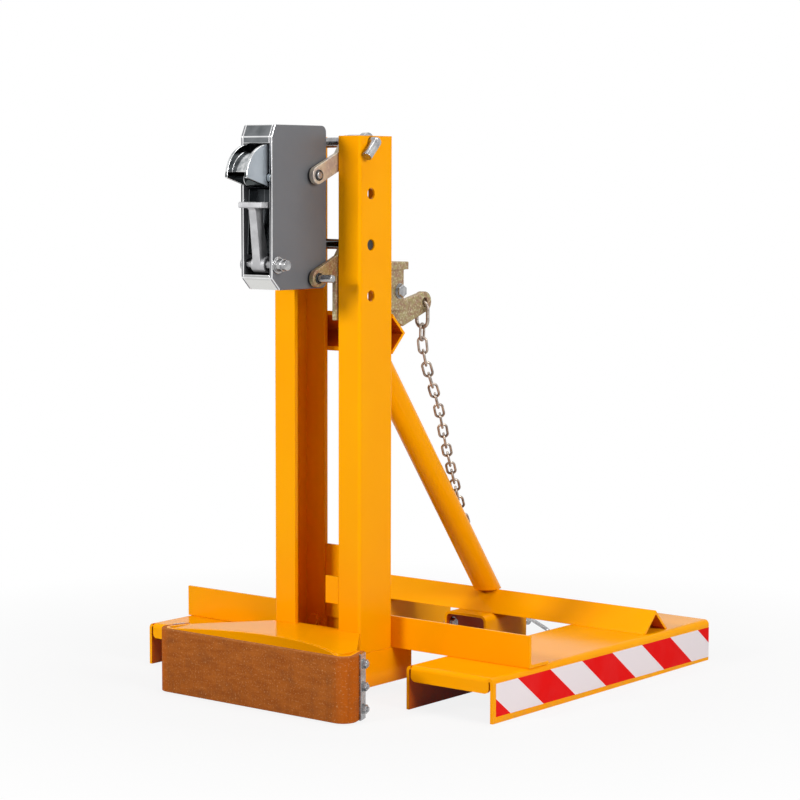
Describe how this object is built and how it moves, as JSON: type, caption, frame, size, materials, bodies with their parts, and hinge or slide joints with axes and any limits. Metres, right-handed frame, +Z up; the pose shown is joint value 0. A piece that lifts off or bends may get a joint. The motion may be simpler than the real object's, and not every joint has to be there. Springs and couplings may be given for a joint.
{
  "type": "forklift drum clamp",
  "caption": "Fork-mounted drum clamp: channel sleeves for the tines, a braced mast with a gripping beak head for a drum's rim, a belted saddle for its side and a safety chain.",
  "frame": {"origin": "on the floor, at the centre of the part's overall box", "axes": "+Z up, -Y towards the drum, +Y towards the truck, +X to the right seen from the drum's side"},
  "size_m": [0.704, 0.78, 0.881],
  "materials": {
    "orange_paint": "gloss enamel",
    "polished_steel": "bright, brushed",
    "zinc_plate": "zinc plate",
    "yellow_zinc": "yellow passivated zinc",
    "black_steel": "black oxide",
    "belt_leather": "worn, matt"
  },
  "bodies": {
    "frame": {"anchor_bolt": "zinc_plate", "anchor_lug": "orange_paint", "belt": "belt_leather", "belt_bolts": "zinc_plate", "belt_strip_left": "zinc_plate", "belt_strip_right": "zinc_plate", "brace": "orange_paint", "chain_anchor": "yellow_zinc", "column_left": "orange_paint", "column_right": "orange_paint", "foot_bolt": "zinc_plate", "foot_channel": "orange_paint", "fork_sleeve_left": "orange_paint", "fork_sleeve_right": "orange_paint", "front_bar": "orange_paint", "front_tab": "orange_paint", "lower_mast_pin": "zinc_plate", "lower_tie": "orange_paint", "mast_bolts": "zinc_plate", "rear_bar": "orange_paint", "rib_left": "orange_paint", "rib_right": "orange_paint", "saddle_top": "orange_paint", "saddle_wall": "orange_paint", "shaft_spacers": "zinc_plate", "upper_tie": "orange_paint"},
    "mast_pin": {"mast_pin": "zinc_plate"},
    "upper_links": {"upper_link_left": "yellow_zinc", "upper_link_right": "yellow_zinc"},
    "lower_links": {"lower_link_left": "yellow_zinc", "lower_link_right": "yellow_zinc"},
    "head": {"head_cheek_left": "polished_steel", "head_cheek_right": "polished_steel", "head_shell": "polished_steel", "upper_head_pin": "zinc_plate", "lower_head_pin": "zinc_plate", "link_washers": "black_steel", "beak_pin": "polished_steel", "jaw_pin": "zinc_plate"},
    "upper_jaw": {"beak": "polished_steel"},
    "lower_jaw": {"lower_jaw": "polished_steel"},
    "chain": {"chain": "zinc_plate", "chain_hook": "zinc_plate"}
  },
  "joints": [
    {"name": "link_swing", "type": "hinge", "parent": "frame", "child": "upper_links", "pos_m": [0, -0.18, 0.856], "axis": [1, 0, 0], "range_deg": [-40, 0]},
    {"name": "head_level", "type": "hinge", "parent": "upper_links", "child": "head", "pos_m": [0, -0.251, 0.806], "axis": [1, 0, 0], "range_deg": [0, 40]},
    {"name": "lower_link_swing", "type": "hinge", "parent": "frame", "child": "lower_links", "pos_m": [0, -0.18, 0.7], "axis": [1, 0, 0], "range_deg": [-40, 0]},
    {"name": "upper_jaw_swing", "type": "hinge", "parent": "head", "child": "upper_jaw", "pos_m": [0, -0.34, 0.802], "axis": [1, 0, 0], "range_deg": [-60, 0]},
    {"name": "lower_jaw_swing", "type": "hinge", "parent": "head", "child": "lower_jaw", "pos_m": [0, -0.332, 0.672], "axis": [1, 0, 0], "range_deg": [-18, 0]},
    {"name": "mast_pin_pull", "type": "slide", "parent": "frame", "child": "mast_pin", "axis": [1, 0, 0], "range_m": [0, 0.19]},
    {"name": "chain_swing", "type": "hinge", "parent": "frame", "child": "chain", "pos_m": [0.062, -0.02, 0.6025], "axis": [1, 0, 0], "range_deg": [0, 12]}
  ],
  "couplings": [
    {"joint": "head_level", "follows": "link_swing", "ratio": -1},
    {"joint": "lower_link_swing", "follows": "link_swing", "ratio": 1}
  ]
}
